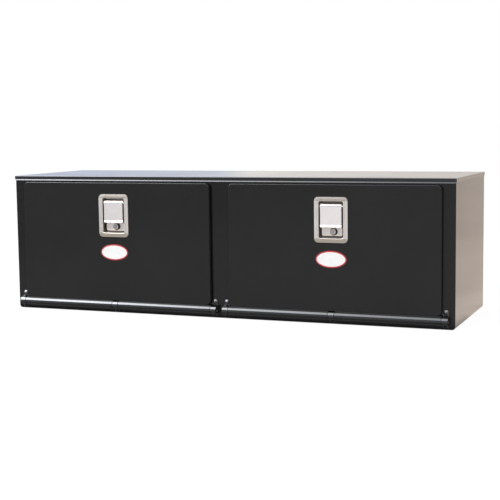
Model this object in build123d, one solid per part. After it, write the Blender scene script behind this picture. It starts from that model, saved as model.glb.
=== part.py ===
from build123d import *
import os
from math import asin, atan2, degrees, hypot, sqrt

# Underbody truck tool box: a long sheet-steel chest with two drop-down doors. Each door turns on a
# rod hinge along its bottom edge and carries a flush paddle latch with a key lock.
# X runs along the chest, Y into its depth with the doors at -Y, Z up. The origin is the centre of
# the whole outline on the resting face. Lengths are in millimetres.

# Chest
BOX_WIDTH = 1524.0
BOX_DEPTH = 457.2
BOX_HEIGHT = 457.2
SHEET = 1.9
CORNER_R = 10.0
OVERRUN = 1.0

# Top panel
LID_SHEET = 1.9
LID_LIP = 12.0
LID_EDGE_R = 2.0
DRIP_REACH = 3.2

# Front frame and centre post
FRAME_SHEET = 2.5
FRAME_EDGE_R = 1.5
OPENING_CORNER_R = 15.0
RETURN_DEPTH = 24.0
POST_WIDTH = 64.0
POST_DEPTH = 25.0
POST_FLANGE = 14.0

# Hinge
HINGE_HEIGHT = 27.0
BARREL_R = 12.7
BARREL_GAP = 0.3
ROD_R = 6.35
RUNNING_FIT = 0.08
SEAT_FIT = 0.05
ROD_INSET = 1.0
ROD_CHAMFER = 0.8
WELD_LAND = 2.3
WELD_WIDTH = 6.0
WELD_SETBACK = 2.0
AXIAL_GAP = 0.3
WASHER_R = 11.0
WASHER_T = 1.5

# Hinge lugs and their bolts
LUG_WIDTH = 18.5
LUG_TOP = 62.0
LUG_FOOT = 2.0
LUG_TAB = 3.0
LUG_RISE = 4.0
LUG_UNDERCUT = 2.0
LUG_DOOR_GAP = 3.0
UPPER_BOLT_R = 4.0
UPPER_HEAD_R = 8.5
UPPER_HEAD_H = 4.5
UPPER_NUT_R = 7.5
UPPER_NUT_T = 6.5
LOWER_BOLT_HEIGHT = 8.2
LOWER_BOLT_R = 2.5
LOWER_HEAD_R = 6.0
LOWER_HEAD_H = 3.0
LOWER_NUT_R = 4.6
LOWER_NUT_T = 4.0
HOLE_FIT = 0.1
THREAD_END = 1.5

# Doors
END_REVEAL = 40.0
CENTRE_REVEAL = 66.0
TOP_REVEAL = 21.0
DOOR_STAND = 15.0
DOOR_CORNER_R = 15.0
DOOR_EDGE_R = 2.0
DOOR_SHEET = 1.9
DOOR_OVERLAP = 20.0
SEAL_GAP = 3.0
SOFT_GAP = 0.3
SEAL_INSET = 4.0
SEAL_WIDTH = 10.0
INNER_SHEET = 1.5
INNER_FIT = 0.1
FIELD_MARGIN = 8.0
FIELD_DEPTH = 10.0
FIELD_CORNER_R = 12.0
FIELD_EDGE_R = 4.0

# Latch bezel and its recess
LATCH_DROP = 109.0
BEZEL_WIDTH = 108.0
BEZEL_HEIGHT = 142.0
BEZEL_T = 2.5
BEZEL_CORNER_R = 13.0
BEZEL_SLOPE = 7.0
BEZEL_SLOPE_T = 0.8
BEZEL_MOUTH_R = 1.2
GASKET_T = 1.0
GASKET_INSET = 1.0
BEZEL_SIDE = 14.5
BEZEL_END = 13.4
RECESS_DEPTH = 21.0
RECESS_CORNER_R = 6.0
RECESS_SHEET = 1.5
RECESS_FIT = 1.0
STUD_R = 2.5
STUD_INSET = 6.5
STUD_NUT_R = 4.6
STUD_NUT_T = 4.0

# Lock plateau, the raised floor under the paddle
PLATEAU_SIDE = 6.0
PLATEAU_HEIGHT = 28.0
PLATEAU_MARGIN = 7.3
PLATEAU_DEPTH = 13.0
PLATEAU_EDGE_R = 2.0

# Paddle
PADDLE_SIDE_GAP = 5.2
PADDLE_REST_GAP = 2.1
PADDLE_SHEET = 2.0
PADDLE_TOP_GAP = 6.6
PADDLE_INSET = 0.5
PADDLE_ROLL_R = 10.0
PADDLE_LIP = 7.0
PADDLE_BEND_R = 3.0
FLARE_REACH = 2.0
FLARE_HEIGHT = 9.0
PADDLE_CORNER_R = 5.0
PIN_R = 2.5
PIN_END = 1.0
TAIL_WIDTH = 12.0
TAIL_T = 4.0
TAIL_REACH = 21.0
TAIL_HUB_R = 5.0
TAIL_SLOT_GAP = 1.0
PADDLE_STROKE = 12.8

# Paddle return spring
SPRING_R = 4.0
SPRING_WIRE_R = 0.7
SPRING_SIDES = 8
SPRING_PITCH = 1.9
SPRING_TURNS = 5
SPRING_LEG = 14.0
SPRING_X = 9.0

# Bolt and its housing
BOLT_WIDTH = 30.0
BOLT_T = 8.0
BOLT_SETBACK = 5.0
BOLT_LENGTH = 94.0
BOLT_TIP_GAP = 1.5
BOLT_BEVEL = 6.0
BOLT_SLIDE_FIT = 0.3
WINDOW_ABOVE = 6.0
WINDOW_BELOW = 3.5
HOUSING_WIDTH = 40.0
HOUSING_DEPTH = 17.0
HOUSING_SHEET = 1.5
HOUSING_TOP = 76.0
HOUSING_HEIGHT = 68.0
HOUSING_FLANGE = 10.0
SLOT_SIDE = 3.0
SLOT_END = 2.0
STRIKE_T = 3.0
STRIKE_MARGIN = 12.0
WINDOW_SIDE = 38.0
WINDOW_DROP = 22.0

# Lock
LOCK_OFFSET = 6.0
LOCK_DROP = 0.8
LOCK_R = 10.0
LOCK_STAND = 8.5
LOCK_BACK = 14.5
LOCK_EDGE_R = 1.0
LOCK_RING_R = 12.0
LOCK_RING_T = 1.2
LOCK_NUT_R = 11.3
LOCK_NUT_T = 4.0
PLUG_R = 6.3
PLUG_INSET = 0.5
PLUG_END_GAP = 0.3
KEY_SLOT_WIDTH = 1.6
KEY_SLOT_HEIGHT = 8.0
KEY_SLOT_DEPTH = 8.0
CAM_T = 3.0
CAM_HUB_R = 8.0
CAM_END_R = 5.0
CAM_REACH = 23.0
CAM_SCREW_R = 2.0
CAM_HEAD_R = 4.5
CAM_HEAD_T = 3.0
CAM_SCREW_LENGTH = 8.0

# Places that follow from the sizes above
FRONT_REACH = BARREL_GAP + BARREL_R + BARREL_R
FRONT_Y = (FRONT_REACH - BOX_DEPTH) / 2
BACK_Y = FRONT_Y + BOX_DEPTH
BODY_TOP = BOX_HEIGHT - LID_SHEET
LID_BOTTOM = BOX_HEIGHT - LID_LIP
HINGE_Y = FRONT_Y - BARREL_GAP - BARREL_R
DOOR_WIDTH = (BOX_WIDTH - END_REVEAL - END_REVEAL - CENTRE_REVEAL) / 2
DOOR_X = (CENTRE_REVEAL + DOOR_WIDTH) / 2
DOOR_BOTTOM = HINGE_HEIGHT + BARREL_R + WELD_LAND
DOOR_TOP = BOX_HEIGHT - TOP_REVEAL
DOOR_HEIGHT = DOOR_TOP - DOOR_BOTTOM
DOOR_Z = (DOOR_TOP + DOOR_BOTTOM) / 2
DOOR_Y = FRONT_Y - DOOR_STAND
DOOR_BACK_Y = FRONT_Y - SEAL_GAP
OPENING_WIDTH = DOOR_WIDTH - 2 * DOOR_OVERLAP
OPENING_HEIGHT = DOOR_HEIGHT - 2 * DOOR_OVERLAP
OPENING_TOP = DOOR_TOP - DOOR_OVERLAP
LUG_X = DOOR_WIDTH / 2 + LUG_DOOR_GAP + LUG_WIDTH / 2
UPPER_BOLT_HEIGHT = LUG_TOP - LUG_WIDTH / 2
LATCH_Z = DOOR_TOP - LATCH_DROP
BEZEL_Y = DOOR_Y - GASKET_T - BEZEL_T
RECESS_WIDTH = BEZEL_WIDTH - 2 * BEZEL_SIDE
RECESS_HEIGHT = BEZEL_HEIGHT - 2 * BEZEL_END
RECESS_BACK_Y = BEZEL_Y + RECESS_DEPTH + RECESS_SHEET
RECESS_TOP = LATCH_Z + RECESS_HEIGHT / 2
PLATEAU_Z = LATCH_Z - RECESS_HEIGHT / 2 + PLATEAU_MARGIN + PLATEAU_HEIGHT / 2
PLATEAU_WIDTH = RECESS_WIDTH - 2 * PLATEAU_SIDE
PLATEAU_Y = BEZEL_Y + PLATEAU_DEPTH
LOCK_Z = PLATEAU_Z - LOCK_DROP
PADDLE_WIDTH = RECESS_WIDTH - 2 * PADDLE_SIDE_GAP
PADDLE_Y = BEZEL_Y + PADDLE_INSET
PADDLE_TOP = RECESS_TOP - PADDLE_TOP_GAP
PADDLE_BOTTOM = LOCK_Z + LOCK_R + PADDLE_REST_GAP
PADDLE_HEIGHT = PADDLE_TOP - PADDLE_BOTTOM
PIVOT_Y = PADDLE_Y + PADDLE_ROLL_R
PIVOT_Z = PADDLE_TOP - PADDLE_ROLL_R
BOLT_Y = RECESS_BACK_Y + BOLT_SETBACK
BOLT_TIP = OPENING_TOP - BOLT_TIP_GAP
BOLT_FOOT = BOLT_TIP - BOLT_LENGTH
HOUSING_TOP_Z = LATCH_Z + HOUSING_TOP
LOCK_Y = PLATEAU_Y - LOCK_STAND
LOCK_BACK_Y = PLATEAU_Y + LOCK_BACK
CAM_Y = LOCK_BACK_Y + PLUG_END_GAP


def slab(sketch, front, thickness):
    """A sketch drawn in X and Z, made solid from the plane y = front towards the back."""
    return Pos(0, front, 0) * extrude(Plane.XZ * sketch, thickness, dir=(0, 1, 0))


def bar(profile, length, x=0.0):
    """A profile drawn in Y and Z, made solid along X and centred on x."""
    return Pos(x, 0, 0) * extrude(Plane.YZ * profile, length / 2, both=True)


def rounded(width, height, radius, z):
    return Pos(0, z) * RectangleRounded(width, height, radius)


def block(low, high):
    """A box between two corners."""
    size = [b - a for a, b in zip(low, high)]
    middle = [(a + b) / 2 for a, b in zip(low, high)]
    return Pos(*middle) * Box(*size)


def rod_along_x(radius, length, x=0.0, y=0.0, z=0.0):
    return Pos(x, y, z) * Rot(0, 90, 0) * Cylinder(radius, length)


def rod_along_y(radius, front, length, x=0.0, z=0.0):
    return slab(Pos(x, z) * Circle(radius), front, length)


def front_edges(solid):
    return solid.faces().sort_by(Axis.Y)[0].edges()


def back_edges(solid):
    return solid.faces().sort_by(Axis.Y)[-1].edges()


def chest_outline(inset, top):
    """The chest seen from the front, with its lower corners rounded."""
    width = BOX_WIDTH - 2 * inset
    height = top - inset
    sheet = Pos(0, inset + height / 2) * Rectangle(width, height)
    return fillet(sheet.vertices().sort_by(Axis.Y)[:2], CORNER_R - inset)


def body_shell():
    depth = BACK_Y - FRONT_Y - FRAME_SHEET
    outline = chest_outline(0, BODY_TOP) - chest_outline(SHEET, BODY_TOP + OVERRUN)
    return slab(outline, FRONT_Y + FRAME_SHEET, depth)


def back_panel():
    return slab(chest_outline(SHEET, BODY_TOP), BACK_Y - SHEET, SHEET)


def top_panel():
    """A shallow inverted pan, flush with the back, whose front lip ends in a drip edge."""
    side = BOX_WIDTH / 2
    pan = block(
        (-side - LID_SHEET, FRONT_Y - LID_SHEET, LID_BOTTOM),
        (side + LID_SHEET, BACK_Y, BOX_HEIGHT),
    )
    rim = pan.faces().sort_by(Axis.Z)[-1].edges().sort_by(Axis.Y)
    pan = fillet(rim[:-1], LID_EDGE_R)
    pan -= block((-side, FRONT_Y, LID_BOTTOM - OVERRUN), (side, BACK_Y + OVERRUN, BODY_TOP))
    slant = LID_SHEET * sqrt(2)
    lip = FRONT_Y - LID_SHEET
    drip = Polygon(
        (lip, LID_BOTTOM),
        (lip - DRIP_REACH, LID_BOTTOM - DRIP_REACH),
        (lip - DRIP_REACH + slant, LID_BOTTOM - DRIP_REACH),
        (FRONT_Y, LID_BOTTOM + LID_SHEET - slant),
        (FRONT_Y, LID_BOTTOM),
        align=None,
    )
    return pan + bar(drip, BOX_WIDTH + 2 * LID_SHEET)


def strike_slot(z_low, z_high):
    """The space that the latch bolt enters, seen from above."""
    side = BOLT_WIDTH / 2 + SLOT_SIDE
    return block(
        (-side, BOLT_Y - SLOT_END, z_low),
        (side, BOLT_Y + BOLT_T + SLOT_END, z_high),
    )


def lug_holes():
    """Shank holes of one door's hinge lugs, in the frame and the lugs."""
    front = FRONT_Y - LUG_TAB - OVERRUN
    length = LUG_TAB + FRAME_SHEET + 2 * OVERRUN
    holes = []
    for x in (-LUG_X, LUG_X):
        holes.append(rod_along_y(UPPER_BOLT_R + HOLE_FIT, front, length, x, UPPER_BOLT_HEIGHT))
    for x in (-LUG_X, 0, LUG_X):
        holes.append(rod_along_y(LOWER_BOLT_R + HOLE_FIT, front, length, x, LOWER_BOLT_HEIGHT))
    return holes


def front_frame():
    """Face plate with two flanged door openings and a bolt slot in each header flange."""
    plate = slab(chest_outline(0, BODY_TOP), FRONT_Y, FRAME_SHEET)
    plate = fillet(front_edges(plate), FRAME_EDGE_R)
    opening = rounded(OPENING_WIDTH, OPENING_HEIGHT, OPENING_CORNER_R, DOOR_Z)
    collar = rounded(
        OPENING_WIDTH + 2 * FRAME_SHEET,
        OPENING_HEIGHT + 2 * FRAME_SHEET,
        OPENING_CORNER_R + FRAME_SHEET,
        DOOR_Z,
    )
    flange = slab(collar, FRONT_Y + FRAME_SHEET, RETURN_DEPTH - FRAME_SHEET)
    way = slab(opening, FRONT_Y - OVERRUN, RETURN_DEPTH + 2 * OVERRUN)
    slot = strike_slot(OPENING_TOP - OVERRUN, OPENING_TOP + FRAME_SHEET + OVERRUN)
    for x in (-DOOR_X, DOOR_X):
        plate = plate + Pos(x, 0, 0) * flange
        plate = plate - Pos(x, 0, 0) * way - Pos(x, 0, 0) * slot
        for hole in lug_holes():
            plate -= Pos(x, 0, 0) * hole
    return plate


def centre_post():
    """A hat channel from floor to roof behind the middle of the frame."""
    front = FRONT_Y + FRAME_SHEET
    half = POST_WIDTH / 2
    edge = half + POST_FLANGE
    back = front + POST_DEPTH
    post = block((-half, front, SHEET), (half, back, BODY_TOP))
    post += block((-edge, front, SHEET), (edge, front + SHEET, BODY_TOP))
    return post - block(
        (SHEET - half, front - OVERRUN, SHEET - OVERRUN),
        (half - SHEET, back - SHEET, BODY_TOP + OVERRUN),
    )


def strike():
    """Wear plate on the header flange, round the bolt's slot."""
    side = BOLT_WIDTH / 2 + SLOT_SIDE + STRIKE_MARGIN
    low = OPENING_TOP + FRAME_SHEET
    plate = block(
        (-side, FRONT_Y + FRAME_SHEET, low), (side, FRONT_Y + RETURN_DEPTH, low + STRIKE_T)
    )
    return plate - strike_slot(low - OVERRUN, low + STRIKE_T + OVERRUN)


def hinge_rod():
    length = 2 * LUG_X + LUG_WIDTH - 2 * ROD_INSET
    rod = rod_along_x(ROD_R, length, 0, HINGE_Y, HINGE_HEIGHT)
    return chamfer(rod.edges(), ROD_CHAMFER)


def knuckle_profile(hole_fit):
    knuckle = Pos(HINGE_Y, HINGE_HEIGHT) * Circle(BARREL_R)
    return knuckle, Pos(HINGE_Y, HINGE_HEIGHT) * Circle(ROD_R + hole_fit)


def end_lug(x):
    """Bracket beside a door: tab on the frame, sloped shoulders and a knuckle round the rod."""
    knuckle, bore = knuckle_profile(SEAT_FIT)
    face = FRONT_Y - LUG_TAB
    high = HINGE_HEIGHT + BARREL_R
    low = HINGE_HEIGHT - BARREL_R
    shoulders = Polygon(
        (HINGE_Y, high), (face, high + LUG_RISE), (FRONT_Y, high + LUG_RISE),
        (FRONT_Y, low + LUG_UNDERCUT), (face, low + LUG_UNDERCUT), (HINGE_Y, low),
        align=None,
    )
    tab = Pos((face + FRONT_Y) / 2, (LUG_FOOT + LUG_TOP) / 2) * Rectangle(LUG_TAB, LUG_TOP - LUG_FOOT)
    lug = bar(knuckle + shoulders + tab - bore, LUG_WIDTH, x)
    outline = Pos(x, (LUG_FOOT + UPPER_BOLT_HEIGHT) / 2) * Rectangle(
        LUG_WIDTH, UPPER_BOLT_HEIGHT - LUG_FOOT
    )
    outline += Pos(x, UPPER_BOLT_HEIGHT) * Circle(LUG_WIDTH / 2)
    front = HINGE_Y - BARREL_R - OVERRUN
    return lug & slab(outline, front, FRONT_Y - front)


def middle_lug():
    """Bracket under a door's middle: knuckle, lower shoulder and foot only."""
    knuckle, bore = knuckle_profile(SEAT_FIT)
    face = FRONT_Y - LUG_TAB
    low = HINGE_HEIGHT - BARREL_R
    back = Polygon(
        (HINGE_Y, HINGE_HEIGHT + BARREL_R), (FRONT_Y, HINGE_HEIGHT), (FRONT_Y, LUG_FOOT),
        (face, LUG_FOOT), (face, low + LUG_UNDERCUT), (HINGE_Y, low),
        align=None,
    )
    return bar(knuckle + back - bore, LUG_WIDTH)


def drilled(lugs):
    """Each lug with its bolt holes."""
    for hole in lug_holes():
        lugs = [lug - hole for lug in lugs]
    return lugs


def dome_bolt(x, z, head_r, head_h, shank_r, length):
    """A dome-head bolt seated on the lug tab, its shank running back."""
    seat = FRONT_Y - LUG_TAB
    ball_r = (head_r * head_r + head_h * head_h) / (2 * head_h)
    ball = Pos(x, seat - head_h + ball_r, z) * Sphere(ball_r)
    side = 2 * head_r
    cap = ball & block((x - side, seat - side, z - side), (x + side, seat, z + side))
    return cap + rod_along_y(shank_r, seat, length, x, z)


def hex_nut(x, z, front, radius, thickness, bore):
    ring = Pos(x, z) * (RegularPolygon(radius, 6) - Circle(bore))
    return slab(ring, front, thickness)


def lug_bolts():
    """Bolts of one door's lugs, and their nuts."""
    through = LUG_TAB + FRAME_SHEET
    back = FRONT_Y + FRAME_SHEET
    bolts = []
    nuts = []
    for x in (-LUG_X, LUG_X):
        length = through + UPPER_NUT_T + THREAD_END
        place = (x, UPPER_BOLT_HEIGHT)
        bolts.append(dome_bolt(*place, UPPER_HEAD_R, UPPER_HEAD_H, UPPER_BOLT_R, length))
        nuts.append(hex_nut(*place, back, UPPER_NUT_R, UPPER_NUT_T, UPPER_BOLT_R + HOLE_FIT))
    for x in (-LUG_X, 0, LUG_X):
        length = through + LOWER_NUT_T + THREAD_END
        place = (x, LOWER_BOLT_HEIGHT)
        bolts.append(dome_bolt(*place, LOWER_HEAD_R, LOWER_HEAD_H, LOWER_BOLT_R, length))
        nuts.append(hex_nut(*place, back, LOWER_NUT_R, LOWER_NUT_T, LOWER_BOLT_R + HOLE_FIT))
    return bolts, nuts


BARREL_START = LUG_WIDTH / 2 + AXIAL_GAP + WASHER_T + AXIAL_GAP
BARREL_END = LUG_X - BARREL_START


def hinge_barrel(side):
    """One of the two tubes welded under a door, between the middle lug and an end lug."""
    tube, bore = knuckle_profile(RUNNING_FIT)
    land_z = (HINGE_HEIGHT + DOOR_BOTTOM) / 2
    land_y = HINGE_Y + WELD_SETBACK
    land = Pos(land_y, land_z) * Rectangle(WELD_WIDTH, DOOR_BOTTOM - HINGE_HEIGHT)
    length = BARREL_END - BARREL_START
    middle = (BARREL_END + BARREL_START) / 2
    return bar(tube + land - bore, length, side * middle)


def washers():
    """Thrust washers on the rod, one at each end of both barrels."""
    ring = Pos(HINGE_Y, HINGE_HEIGHT) * (Circle(WASHER_R) - Circle(ROD_R + SEAT_FIT))
    reach = LUG_WIDTH / 2 + AXIAL_GAP + WASHER_T / 2
    places = [reach, LUG_X - reach]
    return [bar(ring, WASHER_T, side * x) for side in (-1, 1) for x in places]


def stud_places():
    x = BEZEL_WIDTH / 2 - STUD_INSET
    z = BEZEL_HEIGHT / 2 - STUD_INSET
    return [(sx * x, LATCH_Z + sz * z) for sx in (-1, 1) for sz in (-1, 1)]


def recess_outline(offset):
    return rounded(
        RECESS_WIDTH + 2 * offset,
        RECESS_HEIGHT + 2 * offset,
        RECESS_CORNER_R + offset,
        LATCH_Z,
    )


def door_skin():
    """Outer pan with rounded corners, cut for the latch recess."""
    depth = DOOR_BACK_Y - DOOR_Y
    pan = slab(rounded(DOOR_WIDTH, DOOR_HEIGHT, DOOR_CORNER_R, DOOR_Z), DOOR_Y, depth)
    pan = fillet(front_edges(pan), DOOR_EDGE_R)
    hollow = rounded(
        DOOR_WIDTH - 2 * DOOR_SHEET,
        DOOR_HEIGHT - 2 * DOOR_SHEET,
        DOOR_CORNER_R - DOOR_SHEET,
        DOOR_Z,
    )
    pan -= slab(hollow, DOOR_Y + DOOR_SHEET, depth)
    pan -= slab(recess_outline(RECESS_SHEET + RECESS_FIT), DOOR_Y - OVERRUN, depth)
    for x, z in stud_places():
        pan -= rod_along_y(STUD_R + HOLE_FIT, DOOR_Y - OVERRUN, DOOR_SHEET + 2 * OVERRUN, x, z)
    return pan


def field_outline(inset):
    margin = 2 * (DOOR_OVERLAP + FIELD_MARGIN + inset)
    return rounded(DOOR_WIDTH - margin, DOOR_HEIGHT - margin, FIELD_CORNER_R - inset, DOOR_Z)


def door_inner():
    """Inner pan: a rim inside the skin and a raised field that reaches into the opening."""
    edge = 2 * (DOOR_SHEET + INNER_FIT)
    corner = DOOR_CORNER_R - DOOR_SHEET - INNER_FIT
    rim = rounded(DOOR_WIDTH - edge, DOOR_HEIGHT - edge, corner, DOOR_Z)
    front = DOOR_BACK_Y - INNER_SHEET
    panel = slab(rim, front, INNER_SHEET)
    field = slab(field_outline(0), front, FIELD_DEPTH + INNER_SHEET)
    hollow = slab(field_outline(INNER_SHEET), front - OVERRUN, FIELD_DEPTH + OVERRUN)
    panel += fillet(back_edges(field), FIELD_EDGE_R)
    panel -= fillet(back_edges(hollow), FIELD_EDGE_R - INNER_SHEET)
    top = DOOR_TOP - DOOR_OVERLAP
    window = block(
        (-WINDOW_SIDE, DOOR_BACK_Y - OVERRUN - INNER_SHEET, PLATEAU_Z - WINDOW_DROP),
        (WINDOW_SIDE, DOOR_BACK_Y + FIELD_DEPTH + OVERRUN, HOUSING_TOP_Z + OVERRUN),
    )
    side = BOLT_WIDTH / 2 + SLOT_SIDE
    notch = block(
        (-side, DOOR_BACK_Y, HOUSING_TOP_Z), (side, DOOR_BACK_Y + FIELD_DEPTH + OVERRUN, top)
    )
    return panel - window - notch


def door_seal():
    """Rubber strip round the rim, just clear of the frame."""
    outer = 2 * (DOOR_SHEET + SEAL_INSET)
    inner = outer + 2 * SEAL_WIDTH
    corner = DOOR_CORNER_R - DOOR_SHEET - SEAL_INSET
    ring = rounded(DOOR_WIDTH - outer, DOOR_HEIGHT - outer, corner, DOOR_Z)
    ring -= rounded(DOOR_WIDTH - inner, DOOR_HEIGHT - inner, corner / 2, DOOR_Z)
    return slab(ring, DOOR_BACK_Y, SEAL_GAP - SOFT_GAP)


def lock_plateau():
    """Outer and inner form of the raised floor that carries the lock."""
    depth = RECESS_BACK_Y - PLATEAU_Y
    outer = slab(rounded(PLATEAU_WIDTH, PLATEAU_HEIGHT, RECESS_CORNER_R, PLATEAU_Z), PLATEAU_Y, depth)
    outer = fillet(front_edges(outer), PLATEAU_EDGE_R)
    wall = 2 * RECESS_SHEET
    inner = rounded(
        PLATEAU_WIDTH - wall, PLATEAU_HEIGHT - wall, RECESS_CORNER_R - RECESS_SHEET, PLATEAU_Z
    )
    return outer, slab(inner, PLATEAU_Y + RECESS_SHEET, depth)


def bezel_frame():
    """Front frame of the latch, its face sloping back towards the outer edge."""
    full = rounded(BEZEL_WIDTH, BEZEL_HEIGHT, BEZEL_CORNER_R, LATCH_Z)
    slope = 2 * BEZEL_SLOPE
    crown = rounded(
        BEZEL_WIDTH - slope, BEZEL_HEIGHT - slope, BEZEL_CORNER_R - BEZEL_SLOPE, LATCH_Z
    )
    shoulder = BEZEL_Y + BEZEL_SLOPE_T
    faces = [Pos(0, BEZEL_Y, 0) * (Plane.XZ * crown), Pos(0, shoulder, 0) * (Plane.XZ * full)]
    return loft(faces, ruled=True) + slab(full, shoulder, BEZEL_T - BEZEL_SLOPE_T)


def latch_bezel():
    """Stainless frame and pocket, with the lock plateau, pin holes, tail slot and studs."""
    pocket = slab(recess_outline(RECESS_SHEET), BEZEL_Y + BEZEL_T, RECESS_BACK_Y - BEZEL_Y - BEZEL_T)
    hollow = slab(recess_outline(0), BEZEL_Y - OVERRUN, RECESS_DEPTH + OVERRUN)
    shell = bezel_frame() + pocket - hollow
    mouth = shell.faces().sort_by(Axis.Y)[0].inner_wires()[0].edges()
    outer, inner = lock_plateau()
    bezel = fillet(mouth, BEZEL_MOUTH_R) + outer - inner
    bezel -= rod_along_x(PIN_R + SEAT_FIT, BEZEL_WIDTH, 0, PIVOT_Y, PIVOT_Z)
    half = TAIL_WIDTH / 2 + TAIL_SLOT_GAP
    bezel -= block(
        (-half, RECESS_BACK_Y - RECESS_SHEET - OVERRUN, PIVOT_Z - PADDLE_STROKE),
        (half, RECESS_BACK_Y + OVERRUN, PIVOT_Z + TAIL_T / 2 + TAIL_SLOT_GAP),
    )
    bezel -= rod_along_y(LOCK_R + SEAT_FIT, PLATEAU_Y - OVERRUN, RECESS_DEPTH, LOCK_OFFSET, LOCK_Z)
    length = GASKET_T + DOOR_SHEET + STUD_NUT_T + THREAD_END
    for x, z in stud_places():
        bezel += rod_along_y(STUD_R, BEZEL_Y + BEZEL_T, length, x, z)
    return bezel


def latch_gasket():
    inset = 2 * GASKET_INSET
    ring = rounded(BEZEL_WIDTH - inset, BEZEL_HEIGHT - inset, BEZEL_CORNER_R - GASKET_INSET, LATCH_Z)
    ring -= recess_outline(RECESS_SHEET + RECESS_FIT)
    for x, z in stud_places():
        ring -= Pos(x, z) * Circle(STUD_R + HOLE_FIT)
    return slab(ring, DOOR_Y - GASKET_T, GASKET_T)


def stud_nuts():
    front = DOOR_Y + DOOR_SHEET
    return [
        hex_nut(x, z, front, STUD_NUT_R, STUD_NUT_T, STUD_R + HOLE_FIT) for x, z in stud_places()
    ]


def paddle_profile(wall):
    """Side view of the paddle: flat front, rolled top, flared foot and a bent lower lip."""
    roll = PADDLE_ROLL_R - wall
    bend = PADDLE_BEND_R - wall
    front = PADDLE_Y + wall
    low = PADDLE_BOTTOM + wall
    side = Polygon(
        (front - FLARE_REACH, low), (PADDLE_Y + PADDLE_LIP, low), (PIVOT_Y + roll, PIVOT_Z),
        (front, PIVOT_Z), (front, low + FLARE_HEIGHT),
        align=None,
    )
    corner = side.vertices().sort_by(lambda v: v.X + v.Y)[0]
    return fillet(corner, bend) + Pos(PIVOT_Y, PIVOT_Z) * Circle(roll)


def paddle():
    """Folded stainless handle, open at the back, with the tail that works the bolt."""
    body = bar(paddle_profile(0), PADDLE_WIDTH)
    hollow = paddle_profile(PADDLE_SHEET)
    behind = Polygon(
        (PIVOT_Y, PIVOT_Z + PADDLE_ROLL_R - PADDLE_SHEET),
        (PIVOT_Y + PADDLE_ROLL_R, PIVOT_Z + PADDLE_ROLL_R - PADDLE_SHEET),
        (PIVOT_Y + PADDLE_ROLL_R, PADDLE_BOTTOM + PADDLE_SHEET),
        (PADDLE_Y + PADDLE_LIP - PADDLE_SHEET, PADDLE_BOTTOM + PADDLE_SHEET),
        align=None,
    )
    body -= bar(hollow + behind, PADDLE_WIDTH - 2 * PADDLE_SHEET)
    height = PADDLE_HEIGHT + PADDLE_CORNER_R
    face = Pos(0, PADDLE_BOTTOM + height / 2) * RectangleRounded(
        PADDLE_WIDTH, height, PADDLE_CORNER_R
    )
    face_y = PADDLE_Y - FLARE_REACH - OVERRUN
    body &= slab(face, face_y, FLARE_REACH + 2 * PADDLE_ROLL_R + 2 * OVERRUN)
    tail = Pos(PIVOT_Y, PIVOT_Z) * Circle(TAIL_HUB_R)
    tail += Pos(PIVOT_Y + TAIL_REACH - TAIL_T / 2, PIVOT_Z) * Circle(TAIL_T / 2)
    tail_back = PIVOT_Y + TAIL_REACH - TAIL_T / 2
    tail += Pos((PIVOT_Y + tail_back) / 2, PIVOT_Z) * Rectangle(tail_back - PIVOT_Y, TAIL_T)
    stem = PIVOT_Y - PADDLE_Y - PADDLE_SHEET / 2
    tail += Pos(PIVOT_Y - stem / 2, PIVOT_Z) * Rectangle(stem, 2 * TAIL_HUB_R)
    body += bar(tail, TAIL_WIDTH)
    return body - rod_along_x(PIN_R + RUNNING_FIT, PADDLE_WIDTH + 2 * OVERRUN, 0, PIVOT_Y, PIVOT_Z)


def paddle_pin():
    length = RECESS_WIDTH + 2 * RECESS_SHEET + 2 * PIN_END
    return rod_along_x(PIN_R, length, 0, PIVOT_Y, PIVOT_Z)


def leg_angle(reach):
    """Where on the coil a leg starts, in degrees, so that its tip stands that far from the pin."""
    return degrees(asin(reach / hypot(SPRING_R, SPRING_LEG)) - atan2(SPRING_R, SPRING_LEG))


def paddle_spring():
    """Torsion spring on the pin: one leg on the recess wall, the other on the paddle's face."""
    back = RECESS_BACK_Y - RECESS_SHEET - SEAT_FIT - SPRING_WIRE_R - PIVOT_Y
    front = PIVOT_Y - PADDLE_Y - PADDLE_SHEET - SEAT_FIT - SPRING_WIRE_R
    start = leg_angle(back)
    turns = SPRING_TURNS + (180 - start - leg_angle(front)) / 360
    coil = Helix(SPRING_PITCH, SPRING_PITCH * turns, SPRING_R)
    leg_in = Line(coil @ 0 - coil % 0 * SPRING_LEG, coil @ 0)
    leg_out = Line(coil @ 1, coil @ 1 + coil % 1 * SPRING_LEG)
    section = Plane(leg_in @ 0, z_dir=leg_in % 0) * RegularPolygon(SPRING_WIRE_R, SPRING_SIDES)
    wire = sweep(section, path=Wire([leg_in, coil, leg_out]))
    place = Plane((SPRING_X, PIVOT_Y, PIVOT_Z), x_dir=(0, 1, 0), z_dir=(1, 0, 0))
    return place.location * Rot(0, 0, start) * wire


def latch_bolt():
    """Flat slam bolt with a bevelled tip and a window for the paddle's tail."""
    side = BOLT_WIDTH / 2
    back = BOLT_Y + BOLT_T
    bolt = block((-side, BOLT_Y, BOLT_FOOT), (side, back, BOLT_TIP))
    bevel = Polygon(
        (back - BOLT_BEVEL, BOLT_TIP), (back, BOLT_TIP), (back, BOLT_TIP - BOLT_BEVEL), align=None
    )
    bolt -= bar(bevel, BOLT_WIDTH + 2 * OVERRUN)
    half = TAIL_WIDTH / 2 + TAIL_SLOT_GAP
    return bolt - block(
        (-half, BOLT_Y - OVERRUN, PIVOT_Z - WINDOW_BELOW),
        (half, back + OVERRUN, PIVOT_Z + WINDOW_ABOVE),
    )


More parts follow.
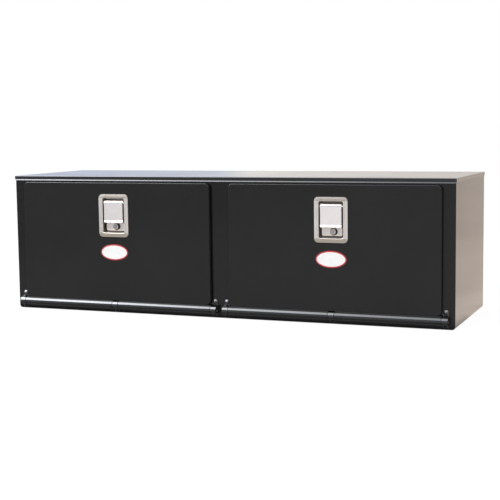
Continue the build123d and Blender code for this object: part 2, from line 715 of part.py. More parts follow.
def bolt_housing():
    """Folded box on the back of the recess that guides the bolt at its top and bottom."""
    side = HOUSING_WIDTH / 2
    back = RECESS_BACK_Y + HOUSING_DEPTH
    low = HOUSING_TOP_Z - HOUSING_HEIGHT
    box = block((-side, RECESS_BACK_Y, low), (side, back, HOUSING_TOP_Z))
    inside = side - HOUSING_SHEET
    box -= block(
        (-inside, RECESS_BACK_Y - OVERRUN, low + HOUSING_SHEET),
        (inside, back - HOUSING_SHEET, HOUSING_TOP_Z - HOUSING_SHEET),
    )
    edge = side + HOUSING_FLANGE
    flange = block(
        (-edge, RECESS_BACK_Y, low), (edge, RECESS_BACK_Y + HOUSING_SHEET, RECESS_TOP)
    )
    box += flange - block(
        (-inside, RECESS_BACK_Y - OVERRUN, low + HOUSING_SHEET),
        (inside, RECESS_BACK_Y + HOUSING_SHEET + OVERRUN, RECESS_TOP + OVERRUN),
    )
    guide = BOLT_WIDTH / 2 + BOLT_SLIDE_FIT
    return box - block(
        (-guide, BOLT_Y - BOLT_SLIDE_FIT, low - OVERRUN),
        (guide, BOLT_Y + BOLT_T + BOLT_SLIDE_FIT, HOUSING_TOP_Z + OVERRUN),
    )


def lock_cylinder():
    body = rod_along_y(LOCK_R, LOCK_Y, LOCK_BACK_Y - LOCK_Y, LOCK_OFFSET, LOCK_Z)
    body = fillet(front_edges(body), LOCK_EDGE_R)
    length = LOCK_BACK_Y - LOCK_Y + 2 * OVERRUN
    return body - rod_along_y(PLUG_R + RUNNING_FIT, LOCK_Y - OVERRUN, length, LOCK_OFFSET, LOCK_Z)


def ring_on_lock(radius, front, thickness):
    ring = Pos(LOCK_OFFSET, LOCK_Z) * (Circle(radius) - Circle(LOCK_R + SEAT_FIT))
    return slab(ring, front, thickness)


def lock_plug():
    """The part the key turns, with its key slot and a hole for the cam's screw."""
    front = LOCK_Y + PLUG_INSET
    plug = rod_along_y(PLUG_R, front, CAM_Y - front, LOCK_OFFSET, LOCK_Z)
    slot = Pos(LOCK_OFFSET, LOCK_Z) * Rectangle(KEY_SLOT_WIDTH, KEY_SLOT_HEIGHT)
    plug -= slab(slot, front - OVERRUN, KEY_SLOT_DEPTH + OVERRUN)
    depth = CAM_SCREW_LENGTH - CAM_T
    hole = rod_along_y(CAM_SCREW_R + HOLE_FIT, CAM_Y - depth, depth + OVERRUN, LOCK_OFFSET, LOCK_Z)
    return plug - hole


def lock_cam():
    """Flat arm behind the plug. It points along X and swings up under the bolt."""
    arm = Circle(CAM_HUB_R) + Pos(CAM_REACH, 0) * Circle(CAM_END_R)
    arm += Pos(CAM_REACH / 2, 0) * Rectangle(CAM_REACH, 2 * CAM_END_R)
    arm -= Circle(CAM_SCREW_R + HOLE_FIT)
    return slab(Pos(LOCK_OFFSET, LOCK_Z) * arm, CAM_Y, CAM_T)


def cam_screw():
    back = CAM_Y + CAM_T
    shank = rod_along_y(CAM_SCREW_R, back - CAM_SCREW_LENGTH, CAM_SCREW_LENGTH, LOCK_OFFSET, LOCK_Z)
    head = Pos(LOCK_OFFSET, LOCK_Z) * RegularPolygon(CAM_HEAD_R, 6)
    return shank + slab(head, back, CAM_HEAD_T)


def chest_nodes():
    return {
        "body_shell": [body_shell()],
        "back_panel": [back_panel()],
        "top_panel": [top_panel()],
        "front_frame": [front_frame()],
        "centre_post": [centre_post()],
    }


def door_nodes():
    """Every piece that repeats on both doors, drawn about a door's middle."""
    bolts, nuts = lug_bolts()
    lock_ring_y = PLATEAU_Y - LOCK_RING_T
    lock_nut_y = PLATEAU_Y + RECESS_SHEET
    return {
        "strike_plate": [strike()],
        "hinge_rod": [hinge_rod()],
        "end_lugs": drilled([end_lug(-LUG_X), end_lug(LUG_X)]),
        "middle_lug": drilled([middle_lug()]),
        "lug_bolts": bolts,
        "lug_nuts": nuts,
        "hinge_washers": washers(),
        "hinge_barrel_a": [hinge_barrel(-1)],
        "hinge_barrel_b": [hinge_barrel(1)],
        "door_skin": [door_skin()],
        "door_inner": [door_inner()],
        "door_seal": [door_seal()],
        "latch_bezel": [latch_bezel()],
        "latch_gasket": [latch_gasket()],
        "latch_nuts": stud_nuts(),
        "latch_housing": [bolt_housing()],
        "latch_bolt": [latch_bolt()],
        "paddle": [paddle()],
        "paddle_pin": [paddle_pin()],
        "paddle_spring": [paddle_spring()],
        "lock_cylinder": [lock_cylinder()],
        "lock_ring": [ring_on_lock(LOCK_RING_R, lock_ring_y, LOCK_RING_T)],
        "lock_nut": [ring_on_lock(LOCK_NUT_R, lock_nut_y, LOCK_NUT_T)],
        "lock_plug": [lock_plug()],
        "lock_cam": [lock_cam()],
        "lock_cam_screw": [cam_screw()],
    }


def write(name, solids):
    flat = [solid for shape in solids for solid in shape.solids()]
    shape = flat[0] if len(flat) == 1 else Compound(children=flat)
    export_step(shape, os.path.join("parts", name + ".step"))


def main():
    os.makedirs("parts", exist_ok=True)
    for name, solids in chest_nodes().items():
        write(name, solids)
    for name, solids in door_nodes().items():
        for side, x in (("left", -DOOR_X), ("right", DOOR_X)):
            write(f"{name}_{side}", [Pos(x, 0, 0) * solid for solid in solids])


main()
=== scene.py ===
from math import cos, pi, radians, sin

import bmesh
import bpy
from mathutils import Matrix, Vector

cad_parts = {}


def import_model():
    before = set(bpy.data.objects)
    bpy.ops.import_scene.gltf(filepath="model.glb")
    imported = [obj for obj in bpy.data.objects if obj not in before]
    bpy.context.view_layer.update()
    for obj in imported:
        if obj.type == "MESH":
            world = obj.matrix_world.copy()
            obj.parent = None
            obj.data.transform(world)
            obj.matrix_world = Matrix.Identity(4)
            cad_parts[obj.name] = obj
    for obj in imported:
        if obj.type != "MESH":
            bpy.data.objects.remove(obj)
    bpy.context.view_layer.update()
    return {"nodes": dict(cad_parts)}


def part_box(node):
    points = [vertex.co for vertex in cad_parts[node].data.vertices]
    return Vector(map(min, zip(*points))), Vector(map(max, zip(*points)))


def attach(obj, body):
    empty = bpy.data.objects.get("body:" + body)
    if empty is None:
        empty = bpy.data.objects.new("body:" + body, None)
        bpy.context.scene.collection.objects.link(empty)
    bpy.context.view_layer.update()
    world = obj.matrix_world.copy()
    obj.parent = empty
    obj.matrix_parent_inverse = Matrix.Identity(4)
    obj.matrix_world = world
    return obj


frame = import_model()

SIDES = ("left", "right")
BLACK, WHITE = (0.0, 0.0, 0.0), (1.0, 1.0, 1.0)

# Bands that the values of a noise mostly keep to
WIDE, NARROW = (0.3, 0.7), (0.35, 0.65)

# Sockets of a Mix node that is set to colours
MIX_FACTOR, MIX_FIRST, MIX_SECOND, MIX_RESULT = 0, 6, 7, 2


# Node trees


class Tree:
    """A material's or world's nodes, added one by one. A colour is a socket or three numbers."""

    def __init__(self, owner):
        owner.use_nodes = True
        self.owner = owner
        self.nodes = owner.node_tree.nodes
        self.links = owner.node_tree.links
        self.nodes.clear()

    def add(self, kind, inputs=(), **settings):
        node = self.nodes.new(kind)
        for key, value in settings.items():
            setattr(node, key, value)
        for key, value in dict(inputs).items():
            self.give(node.inputs[key], value)
        return node

    def give(self, socket, value):
        if isinstance(value, bpy.types.NodeSocket):
            self.links.new(value, socket)
        elif socket.type == "RGBA":
            socket.default_value = (*value, 1.0)
        else:
            socket.default_value = value

    def math(self, operation, a, b=0.0, clamp=False):
        inputs = {0: a, 1: b}
        return self.add("ShaderNodeMath", inputs, operation=operation, use_clamp=clamp).outputs[0]

    def product(self, first, *others):
        for other in others:
            first = self.math("MULTIPLY", first, other)
        return first

    def average(self, first, second, share):
        """Two values added, the first with its share and the second with the rest."""
        return self.math("ADD", self.product(first, share), self.product(second, 1.0 - share))

    def span(self, value, source, target=(0.0, 1.0)):
        """A value moved from one range to another and held inside it."""
        inputs = {"Value": value, "From Min": source[0], "From Max": source[1]}
        inputs.update({"To Min": target[0], "To Max": target[1]})
        return self.add("ShaderNodeMapRange", inputs).outputs["Result"]

    def ramp(self, factor, stops):
        node = self.add("ShaderNodeValToRGB", {"Fac": factor})
        while len(node.color_ramp.elements) < len(stops):
            node.color_ramp.elements.new(0.5)
        for element, (place, colour) in zip(node.color_ramp.elements, stops):
            element.position = place
            element.color = (*colour, 1.0)
        return node.outputs["Color"]

    def blend(self, noise, low, high, band=WIDE):
        """From one colour to the other as a noise goes through its band."""
        return self.ramp(noise, [(band[0], low), (band[1], high)])

    def window(self, value, *places):
        """White between the two middle places, black outside the outer two."""
        return self.ramp(value, list(zip(places, (BLACK, WHITE, WHITE, BLACK))))

    def mix(self, factor, first, second):
        inputs = {MIX_FACTOR: factor, MIX_FIRST: first, MIX_SECOND: second}
        return self.add("ShaderNodeMix", inputs, data_type="RGBA").outputs[MIX_RESULT]

    def noise(self, vector, scale, detail=2.0, roughness=0.5):
        inputs = {"Vector": vector, "Scale": scale, "Detail": detail, "Roughness": roughness}
        return self.add("ShaderNodeTexNoise", inputs).outputs["Fac"]

    def place(self):
        return self.add("ShaderNodeTexCoord").outputs["Object"]

    def facing(self):
        return self.add("ShaderNodeTexCoord").outputs["Normal"]

    def parts(self, vector):
        return self.add("ShaderNodeSeparateXYZ", {"Vector": vector}).outputs

    def vector_math(self, operation, *vectors):
        inputs = dict(enumerate(vectors))
        return self.add("ShaderNodeVectorMath", inputs, operation=operation).outputs

    def stretched(self, vector, scale):
        return self.add("ShaderNodeMapping", {"Vector": vector, "Scale": scale}).outputs["Vector"]

    def bump(self, height, strength, distance, normal=None):
        inputs = {"Height": height, "Strength": strength, "Distance": distance}
        if normal is not None:
            inputs["Normal"] = normal
        return self.add("ShaderNodeBump", inputs).outputs["Normal"]

    def rays(self):
        """The kind of ray that asks, and 1 for one that is mirrored or passes through."""
        path = self.add("ShaderNodeLightPath").outputs
        return path, self.math("MAXIMUM", path["Is Glossy Ray"], path["Is Transmission Ray"])

    def shader(self, kind, **inputs):
        named = {key.replace("_", " "): value for key, value in inputs.items()}
        return self.add(kind, named).outputs[0]

    def choose(self, factor, first, second):
        return self.add("ShaderNodeMixShader", {0: factor, 1: first, 2: second}).outputs[0]

    def finish(self, shader, kind="ShaderNodeOutputMaterial"):
        """Join the shader to the output. Gives the material or world."""
        self.add(kind, {"Surface": shader})
        return self.owner

    def coat(self, **inputs):
        return self.finish(self.shader("ShaderNodeBsdfPrincipled", **inputs))


def material(name):
    return Tree(bpy.data.materials.new(name))


# Materials. All tones are set for the photograph, seen under this scene's light.


def powder_coat(name, ior, dark=(0.0040, 0.0041, 0.0040), light=(0.0062, 0.0063, 0.0060)):
    """Gloss black powder coat with faint orange peel and cloudy gloss."""
    tree = material(name)
    place = tree.place()
    cloud = tree.noise(place, scale=3.5, detail=3.0)
    mottle = tree.noise(place, scale=38.0, detail=4.0)
    gloss = tree.span(cloud, WIDE, (0.13, 0.17))
    peel = tree.bump(tree.noise(place, scale=260.0), strength=0.05, distance=0.0006)
    wave = tree.noise(place, scale=45.0, detail=1.0)
    return tree.coat(
        Base_Color=tree.blend(cloud, dark, light),
        Roughness=tree.math("ADD", gloss, tree.product(mottle, 0.03)),
        IOR=ior,
        Normal=tree.bump(wave, strength=0.035, distance=0.002, normal=peel),
    )


def rod_black(name, ior):
    """Smooth gloss black of the hinge's tubes and lugs, with faint waves in the paint."""
    tree = material(name)
    place = tree.place()
    cloud = tree.noise(place, scale=24.0, detail=3.0)
    return tree.coat(
        Base_Color=tree.blend(cloud, (0.0040, 0.0040, 0.0040), (0.0060, 0.0060, 0.0058)),
        Roughness=tree.span(cloud, WIDE, (0.09, 0.14)),
        IOR=ior,
        Normal=tree.bump(tree.noise(place, scale=90.0), strength=0.04, distance=0.0008),
    )


def steel(name, low, high, rough, grain, strength=0.12, spread=0.05, painted_light=None):
    """Steel with fine drawn lines along one direction, given by the grain's scale.

    The function given for painted light paints light and shade into its colour by place and facing,
    and changes its roughness."""
    tree = material(name)
    lines = tree.noise(tree.stretched(tree.place(), grain), scale=1.0, detail=3.0, roughness=0.6)
    cloud = tree.noise(tree.place(), scale=30.0, detail=3.0)
    both = tree.average(lines, cloud, share=0.65)
    colour = tree.blend(both, low, high)
    dull = tree.span(both, WIDE, (rough - spread, rough + spread))
    # Painted light and shade from the given function
    if painted_light is not None:
        colour, dull = painted_light(tree, colour, dull)
    return tree.coat(
        Base_Color=colour,
        Metallic=1.0,
        Roughness=dull,
        Normal=tree.bump(lines, strength, distance=0.0001),
    )


# Bezel: how far behind its front the painted shade of the recess starts and is full, and how far
# from the upper and lower edge the painted shade of the bars starts and is full. Slants are parts
# of a normal.
RECESS_FROM, RECESS_FULL = 0.0145, 0.0165
BAR_FROM, BAR_FULL = 0.0145, 0.0125
BEZEL_SLANTS = (0.1, 0.2, 0.3, 0.5)
# Painted light on the bezel: shade in the recess, on the bars and on the upper slope, and a
# highlight on the side slopes
PAINTED_RECESS_SHADE = (0.10, 0.095, 0.095)
PAINTED_BAR_SHADE = (0.45, 0.395, 0.33)
PAINTED_SIDE_SLOPE_HIGHLIGHT = (0.97, 0.94, 0.90)
PAINTED_UPPER_SLOPE_SHADE = (0.32, 0.285, 0.24)
UPPER_SLOPE_ROUGH = 0.14

# Paddle: the band below its upper edge in which the painted shade on the roll fades in
ROLL_FROM, ROLL_FULL = 0.020, 0.016
ROLL_SLANTS = (0.04, 0.15, 0.6, 0.85)
PAINTED_ROLL_SHADE = (0.24, 0.22, 0.21)


def bezel_painted_shading(tree, colour, rough):
    """Painted shade in the recess and on the bars above and below it, a painted highlight on the
    side slopes and painted shade on the upper slope.
    """
    low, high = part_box("latch_bezel_left")
    place, facing = tree.parts(tree.place()), tree.parts(tree.facing())
    inner = tree.span(place["Y"], (low.y + RECESS_FROM, low.y + RECESS_FULL))
    colour = tree.mix(inner, colour, PAINTED_RECESS_SHADE)
    half = (high.z - low.z) / 2
    reach = tree.math("ABSOLUTE", tree.math("SUBTRACT", place["Z"], low.z + half))
    bars = tree.span(reach, (half - BAR_FROM, half - BAR_FULL))
    colour = tree.mix(bars, colour, PAINTED_BAR_SHADE)
    sides = tree.window(tree.math("ABSOLUTE", facing["X"]), *BEZEL_SLANTS)
    colour = tree.mix(sides, colour, PAINTED_SIDE_SLOPE_HIGHLIGHT)
    upper = tree.window(facing["Z"], *BEZEL_SLANTS)
    colour = tree.mix(upper, colour, PAINTED_UPPER_SLOPE_SHADE)
    return colour, tree.span(upper, (0.0, 1.0), (rough, UPPER_SLOPE_ROUGH))


def paddle_painted_shade(tree, colour, rough):
    """Painted shade: the paddle's rolled top edge is darker than its face."""
    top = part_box("paddle_left")[1].z
    place, facing = tree.parts(tree.place()), tree.parts(tree.facing())
    near_top = tree.span(place["Z"], (top - ROLL_FROM, top - ROLL_FULL))
    roll = tree.product(tree.window(facing["Z"], *ROLL_SLANTS), near_top)
    return tree.mix(roll, colour, PAINTED_ROLL_SHADE), rough


def plate_spots(tree):
    return tree.noise(tree.place(), scale=420.0, detail=3.0, roughness=0.6)


def plated(tree, spots, colour, rough):
    """Metal with the fine spots of its plating."""
    return tree.coat(
        Base_Color=colour,
        Metallic=1.0,
        Roughness=rough,
        Normal=tree.bump(spots, strength=0.06, distance=0.0002),
    )


def zinc(name, low, high, rough):
    """Plated metal with a soft mottle."""
    tree = material(name)
    spots = plate_spots(tree)
    both = tree.average(spots, tree.noise(tree.place(), scale=60.0), share=0.5)
    colour = tree.blend(both, low, high, NARROW)
    return plated(tree, spots, colour, tree.span(both, WIDE, (rough - 0.05, rough + 0.06)))


# Lock: how far inside its edge the painted shade on the chamfer starts and is full
CHAMFER_SHADE_FROM, CHAMFER_SHADE_FULL = 0.0016, 0.0008


def lock_face(side):
    """The lock's grey face, with painted shade on the edge of its chamfer."""
    tree = material(f"lock_face_{side}")
    low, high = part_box(f"lock_cylinder_{side}")
    middle, radius = (low + high) / 2, (high.x - low.x) / 2
    away = tree.vector_math("SUBTRACT", tree.place(), (middle.x, 0.0, middle.z))[0]
    flat = tree.vector_math("MULTIPLY", away, (1.0, 0.0, 1.0))[0]
    far = tree.vector_math("LENGTH", flat)["Value"]
    # Painted shade on the edge of the chamfer
    edge = tree.span(far, (radius - CHAMFER_SHADE_FROM, radius - CHAMFER_SHADE_FULL))
    spots = plate_spots(tree)
    face = tree.blend(spots, (0.42, 0.38, 0.34), (0.54, 0.50, 0.45), NARROW)
    colour = tree.mix(edge, face, (0.035, 0.032, 0.036))
    return plated(tree, spots, colour, tree.span(spots, WIDE, (0.26, 0.34)))


def bolt_zinc():
    """Dull zinc of the lug bolts, with painted shade on the lower ones, under the hinge barrels."""
    tree = material("zinc_bolts")
    low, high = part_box("lug_bolts_left")
    middle, fade = (low.z + high.z) / 2, 0.002
    upper = tree.span(tree.parts(tree.place())["Z"], (middle - fade, middle + fade))
    spots = plate_spots(tree)
    unshaded_zinc = tree.blend(spots, (0.075, 0.075, 0.078), (0.12, 0.12, 0.125), NARROW)
    # Painted shade: the lower bolts get a darker colour
    colour = tree.mix(upper, (0.035, 0.035, 0.034), unshaded_zinc)
    return plated(tree, spots, colour, tree.span(spots, WIDE, (0.32, 0.44)))


def soft_black(name, low, high, rough, scale, strength):
    """Rubber or nylon: dull black with a fine grain."""
    tree = material(name)
    grain = tree.noise(tree.place(), scale, detail=4.0, roughness=0.6)
    return tree.coat(
        Base_Color=tree.blend(grain, low, high, NARROW),
        Roughness=tree.span(grain, WIDE, (rough - 0.06, rough + 0.06)),
        Normal=tree.bump(grain, strength, distance=0.0003),
    )


def vinyl(name, low, high, rough):
    """Printed vinyl film: nearly even colour and gloss, with faint waves."""
    tree = material(name)
    place = tree.place()
    cloud = tree.noise(place, scale=60.0, detail=3.0)
    return tree.coat(
        Base_Color=tree.blend(cloud, low, high),
        Roughness=tree.span(cloud, WIDE, (rough - 0.05, rough + 0.08)),
        Normal=tree.bump(tree.noise(place, scale=160.0), strength=0.04, distance=0.0004),
    )


def paint(nodes, look):
    for name in nodes:
        piece = frame["nodes"][name]
        piece.data.materials.clear()
        piece.data.materials.append(look)


def sided(*names):
    return [f"{name}_{side}" for name in names for side in SIDES]


def dress_painted():
    shell = powder_coat("powder_coat_gloss_black", ior=1.38)
    paint(["body_shell", "back_panel", "front_frame", "centre_post", *sided("door_inner")], shell)
    paint(["top_panel"], powder_coat("powder_coat_lid", ior=1.55))
    # Painted reflection: the doors' coat is a lighter copy of the shell's, making up for the weaker
    # gloss of its lower IOR
    dark, light = (0.0135, 0.0138, 0.0136), (0.0160, 0.0163, 0.0160)
    paint(sided("door_skin"), powder_coat("powder_coat_door", 1.27, dark, light))
    paint(sided("hinge_barrel_a", "hinge_barrel_b"), rod_black("gloss_black_hinge", ior=1.6))
    paint(sided("end_lugs", "middle_lug"), rod_black("gloss_black_lug", ior=1.68))


def dress_steel():
    bezel = steel(
        "stainless_bezel",
        low=(0.60, 0.55, 0.495),
        high=(0.70, 0.645, 0.585),
        rough=0.30,
        grain=(40.0, 40.0, 900.0),
        strength=0.05,
        spread=0.02,
        painted_light=bezel_painted_shading,
    )
    paint(sided("latch_bezel"), bezel)
    face = steel(
        "stainless_paddle",
        low=(0.92, 0.845, 0.795),
        high=(1.0, 0.935, 0.89),
        rough=0.24,
        grain=(35.0, 35.0, 800.0),
        strength=0.06,
        spread=0.03,
        painted_light=paddle_painted_shade,
    )
    paint(sided("paddle"), face)
    plain = steel(
        "stainless_plain",
        low=(0.5, 0.48, 0.45),
        high=(0.62, 0.6, 0.57),
        rough=0.24,
        grain=(30.0, 500.0, 500.0),
    )
    paint(sided("strike_plate", "hinge_rod", "latch_bolt", "paddle_pin", "paddle_spring"), plain)


def dress_plated():
    plate = zinc("zinc_plate", low=(0.50, 0.49, 0.45), high=(0.64, 0.63, 0.60), rough=0.24)
    hardware = ("lug_nuts", "latch_nuts", "latch_housing", "lock_nut", "lock_cam", "lock_cam_screw")
    paint(sided(*hardware), plate)
    paint(sided("lug_bolts"), bolt_zinc())
    for side in SIDES:
        paint([f"lock_cylinder_{side}"], lock_face(side))
    plug = zinc("lock_plug", low=(0.34, 0.32, 0.30), high=(0.46, 0.44, 0.41), rough=0.3)
    paint(sided("lock_plug"), plug)


def dress_soft():
    rubber = soft_black(
        "rubber_black",
        low=(0.010, 0.010, 0.010),
        high=(0.020, 0.020, 0.020),
        rough=0.7,
        scale=320.0,
        strength=0.3,
    )
    paint(sided("door_seal", "latch_gasket", "lock_ring"), rubber)
    nylon = soft_black(
        "nylon_black",
        low=(0.014, 0.014, 0.014),
        high=(0.022, 0.022, 0.022),
        rough=0.45,
        scale=500.0,
        strength=0.12,
    )
    paint(sided("hinge_washers"), nylon)


def place_object(name, data):
    piece = bpy.data.objects.new(name, data)
    bpy.context.scene.collection.objects.link(piece)
    return piece


# Labels, in metres. LABEL_SINK is how deep the back lies in the door's skin.

LABEL_WIDTH = 0.100
LABEL_HEIGHT = 0.053
LABEL_Z = 0.2043
LABEL_ASIDE = -0.0005
LABEL_LIFT = 0.00035
LABEL_SINK = 0.00001
LABEL_POINTS = 96

# From the outer edge to the face: how far in each ring lies and its share of the lift. The first
# three bands between the rings are red.
LABEL_RINGS = ((0.0, 0.0), (0.0003, 0.7), (0.0008, 1.0), (0.0038, 1.0), (0.0078, 1.0))
RED_BANDS = 3
FILM, INK = 0, 1


def ellipse(width, height):
    angles = [2 * pi * k / LABEL_POINTS for k in range(LABEL_POINTS)]
    return [(width / 2 * cos(angle), height / 2 * sin(angle)) for angle in angles]


def label(side, film, ink):
    """Plain oval label with a printed line round its edge, and nothing on it."""
    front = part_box(f"door_skin_{side}")[0].y
    bezel_low, bezel_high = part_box(f"latch_bezel_{side}")
    x = (bezel_low.x + bezel_high.x) / 2 + LABEL_ASIDE
    shape = bmesh.new()
    loops = []
    for inset, lift in LABEL_RINGS:
        y = front - LABEL_LIFT * lift + LABEL_SINK
        ring = ellipse(LABEL_WIDTH - 2 * inset, LABEL_HEIGHT - 2 * inset)
        loops.append([shape.verts.new((x + a, y, LABEL_Z + b)) for a, b in ring])
    for step, (outer, inner) in enumerate(zip(loops, loops[1:])):
        for k in range(LABEL_POINTS):
            n = (k + 1) % LABEL_POINTS
            made = shape.faces.new((outer[k], outer[n], inner[n], inner[k]))
            made.material_index = INK if step < RED_BANDS else FILM
            made.smooth = True
    shape.faces.new(loops[-1])
    shape.faces.new(list(reversed(loops[0])))
    bmesh.ops.recalc_face_normals(shape, faces=shape.faces)
    mesh = bpy.data.meshes.new(f"label_{side}")
    shape.to_mesh(mesh)
    shape.free()
    mesh.materials.append(film)
    mesh.materials.append(ink)
    piece = place_object(f"label_{side}", mesh)
    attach(piece, f"door_{side}")


def labels():
    film = vinyl("label_film", low=(0.83, 0.825, 0.82), high=(0.89, 0.885, 0.88), rough=0.35)
    ink = vinyl("label_ink_red", low=(0.50, 0.018, 0.030), high=(0.58, 0.026, 0.040), rough=0.35)
    for side in SIDES:
        label(side, film, ink)


# Stage


def sheet(name, corners, look):
    """A flat face with four corners that belongs to the stage."""
    mesh = bpy.data.meshes.new(name)
    mesh.from_pydata(corners, [], [(0, 1, 2, 3)])
    piece = place_object(name, mesh)
    mesh.materials.append(look)


# Floor, in metres. It lies just under the box, so that the two faces don't coincide.
FLOOR_HALF = 30.0
FLOOR_LEVEL = -0.0004
FLOOR_WHITE_SHARE = 0.72
FLOOR_WHITE_STRENGTH = 1.2

# What reflections see of the floor: grey, and a tan patch beside the box's right end, from its
# front back, which glows brighter than the grey as painted light for the right end to mirror
FLOOR_GREY, FLOOR_TAN = (0.86, 0.86, 0.86), (1.0, 0.85, 0.74)
CORNER_X, CORNER_Y = (0.70, 0.78), (-0.3, 0.0)
TAN_Y, TAN_STRENGTH = (0.3, 3.5), (1.42, 1.10)

# A painted shadow: a dim strip along the box's front edge, up to its right end; and a darker far
# left
STRIP_FRONT, STRIP_BACK, STRIP_END, PAINTED_SHADOW_DIM = (-0.34, -0.25), (-0.1, 0.1), (0.74, 0.80), 0.3
FAR_LEFT_X, FAR_LEFT_DIM = (-2.2, -1.1), 0.66
PATCH_SCALE, PATCH_STRENGTH = (1.1, 0.9, 1.0), (0.86, 1.14)


def floor_mirrored(tree):
    """The floor as reflections see it, with a painted shadow along the box's front and a glowing
    tan patch beside its right end.
    """
    place = tree.parts(tree.place())
    aside, behind = tree.span(place["X"], CORNER_X), tree.span(place["Y"], CORNER_Y)
    corner = tree.math("MULTIPLY", aside, behind, clamp=True)
    tint = tree.ramp(corner, [(0.0, FLOOR_GREY), (1.0, FLOOR_TAN)])
    strong = tree.span(corner, (0.0, 1.0), (1.0, tree.span(place["Y"], TAN_Y, TAN_STRENGTH)))
    # Painted shadow of the box, in the floor that reflections see
    shade = tree.math(
        "MAXIMUM",
        tree.span(place["Y"], STRIP_FRONT, (1.0, PAINTED_SHADOW_DIM)),
        tree.span(place["Y"], STRIP_BACK, (PAINTED_SHADOW_DIM, 1.0)),
    )
    shade = tree.math("MAXIMUM", shade, tree.span(place["X"], STRIP_END, (PAINTED_SHADOW_DIM, 1.0)))
    left = tree.span(place["X"], FAR_LEFT_X, (FAR_LEFT_DIM, 1.0))
    cloud = tree.noise(tree.stretched(tree.place(), PATCH_SCALE), 1.4, detail=3.0, roughness=0.6)
    patches = tree.span(cloud, NARROW, PATCH_STRENGTH)
    uneven = tree.span(corner, (0.0, 1.0), (1.0, patches))
    strength = tree.product(strong, shade, left, uneven)
    return tree.shader("ShaderNodeEmission", Color=tint, Strength=strength)


def floor():
    """White to the camera with the box's shadow, toned in reflections, clear from below."""
    tree = material("floor_pale")
    path, shiny = tree.rays()
    lit = tree.shader("ShaderNodeBsdfDiffuse", Color=(0.9, 0.9, 0.9))
    white = tree.shader("ShaderNodeEmission", Color=WHITE, Strength=FLOOR_WHITE_STRENGTH)
    seen = tree.choose(FLOOR_WHITE_SHARE, lit, white)
    plain = tree.choose(path["Is Camera Ray"], lit, seen)
    above = tree.choose(shiny, plain, floor_mirrored(tree))
    under = tree.add("ShaderNodeNewGeometry").outputs["Backfacing"]
    clear = tree.shader("ShaderNodeBsdfTransparent")
    look = tree.finish(tree.choose(under, above, clear))
    signs = ((-1, -1), (1, -1), (1, 1), (-1, 1))
    corners = [(FLOOR_HALF * a, FLOOR_HALF * b, FLOOR_LEVEL) for a, b in signs]
    sheet("floor", corners, look)


# Sky that reflections see, by x / y of the direction: from the end that the left of the lid
# mirrors to the end that its right mirrors
SKY_SLANTS = (-0.66, -0.16)
SKY_MIN_Y = 0.05
SKY_TINTS = (
    (0.0, (0.69, 0.75, 0.93)),
    (0.47, (0.79, 0.825, 0.93)),
    (0.53, (1.0, 0.97, 0.94)),
    (1.0, (0.83, 0.775, 0.735)),
)
SKY_STRENGTH = (1.08, 1.24)
SKY_CLOUD_SCALE = (1.0, 1.0, 6.0)


def world():
    """White to the camera, a plain pale light on surfaces, tinted in reflections."""
    made = bpy.data.worlds.new("studio")
    bpy.context.scene.world = made
    tree = Tree(made)
    path, shiny = tree.rays()
    way = tree.add("ShaderNodeTexCoord").outputs["Generated"]
    part = tree.parts(way)
    slant = tree.math("DIVIDE", part["X"], tree.math("MAXIMUM", part["Y"], SKY_MIN_Y))
    tint = tree.ramp(tree.span(slant, SKY_SLANTS), SKY_TINTS)
    cloud = tree.noise(tree.stretched(way, SKY_CLOUD_SCALE), scale=7.0, detail=3.0)
    strength = tree.span(cloud, WIDE, SKY_STRENGTH)
    soft = tree.shader("ShaderNodeBackground", Color=(0.96, 0.98, 1.0), Strength=0.55)
    clear = tree.shader("ShaderNodeBackground", Color=WHITE, Strength=1.0)
    sky = tree.shader("ShaderNodeBackground", Color=tint, Strength=strength)
    bright = tree.choose(shiny, clear, sky)
    seen = tree.math("ADD", path["Is Camera Ray"], shiny, clamp=True)
    tree.finish(tree.choose(seen, soft, bright), "ShaderNodeOutputWorld")


def lamp(name, place, target, size, energy, colour=WHITE):
    data = bpy.data.lights.new(name, "AREA")
    data.shape = "RECTANGLE"
    data.size, data.size_y = size
    data.energy = energy
    data.color = colour
    piece = place_object(name, data)
    piece.location = place
    aim = Vector(target) - Vector(place)
    piece.rotation_euler = aim.to_track_quat("-Z", "Y").to_euler()


# Both panels are stronger towards the left: the fade starts at the first X and ends at the second
PANEL_FADE_X = (0.4, -1.8)
PANEL_TINT = (0.93, 0.95, 1.0)
PANEL_LEFT = -3.6


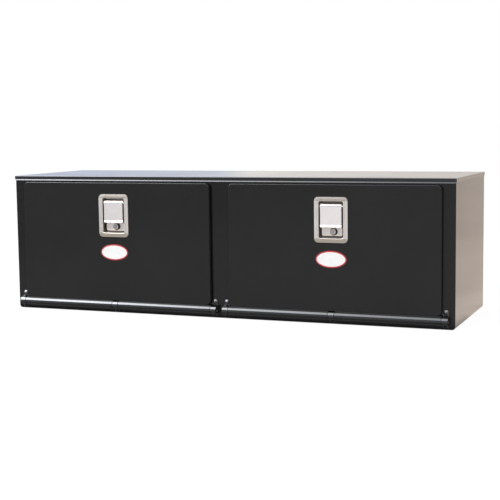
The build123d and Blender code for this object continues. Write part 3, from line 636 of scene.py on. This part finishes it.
def glow_panel(name, corners, strength, power):
    """A panel that only glossy rays see."""
    tree = material(name)
    low, high = strength
    glossy = tree.add("ShaderNodeLightPath").outputs["Is Glossy Ray"]
    fade = tree.math("POWER", tree.span(tree.parts(tree.place())["X"], PANEL_FADE_X), power)
    level = tree.math("ADD", tree.product(fade, high - low), low)
    glow = tree.shader(
        "ShaderNodeEmission", Color=PANEL_TINT, Strength=tree.product(level, glossy)
    )
    clear = tree.shader("ShaderNodeBsdfTransparent")
    sheet(name, corners, tree.finish(tree.choose(glossy, clear, glow)))


def panels():
    """One panel slants up in front of the box, one is level above it."""
    near, far, right = (-2.2, 1.28), (-0.45, 2.5), 1.6
    front = [(PANEL_LEFT, *near), (right, *near), (right, *far), (PANEL_LEFT, *far)]
    glow_panel("front_panel", front, strength=(4.6, 18.0), power=1.6)
    near, far, right = (-0.4, 2.5), (1.0, 2.5), 0.8
    above = [(PANEL_LEFT, *near), (right, *near), (right, *far), (PANEL_LEFT, *far)]
    glow_panel("top_panel_light", above, strength=(3.6, 13.0), power=1.3)


def lights():
    lamp("key", (-1.6, -2.6, 2.6), target=(0.0, -0.1, 0.2), size=(1.6, 1.2), energy=70.0)
    warm = (1.0, 0.96, 0.92)
    lamp("fill", (2.6, -1.6, 1.8), (0.2, 0.0, 0.2), size=(1.4, 1.4), energy=28.0, colour=warm)


# Camera fitted to the photograph: place in metres, angles in degrees, lens in millimetres
CAMERA_PLACE = (1.4630, -3.6555, 0.6254)
CAMERA_TURN = 21.5907
CAMERA_DOWN = 6.187
CAMERA_ROLL = -0.6946
CAMERA_LENS = 83.923
CAMERA_SENSOR = 36.0


def camera():
    data = bpy.data.cameras.new("camera")
    data.sensor_width = CAMERA_SENSOR
    data.lens = CAMERA_LENS
    data.clip_start, data.clip_end = 0.05, 200.0
    piece = place_object("camera", data)
    turn = Matrix.Rotation(radians(CAMERA_TURN), 4, "Z")
    turn = turn @ Matrix.Rotation(radians(90 - CAMERA_DOWN), 4, "X")
    turn = turn @ Matrix.Rotation(radians(CAMERA_ROLL), 4, "Z")
    piece.matrix_world = Matrix.Translation(CAMERA_PLACE) @ turn
    bpy.context.scene.camera = piece


camera()
dress_painted()
dress_steel()
dress_plated()
dress_soft()
labels()
floor()
panels()
world()
lights()
bpy.context.scene.view_settings.view_transform = "Standard"
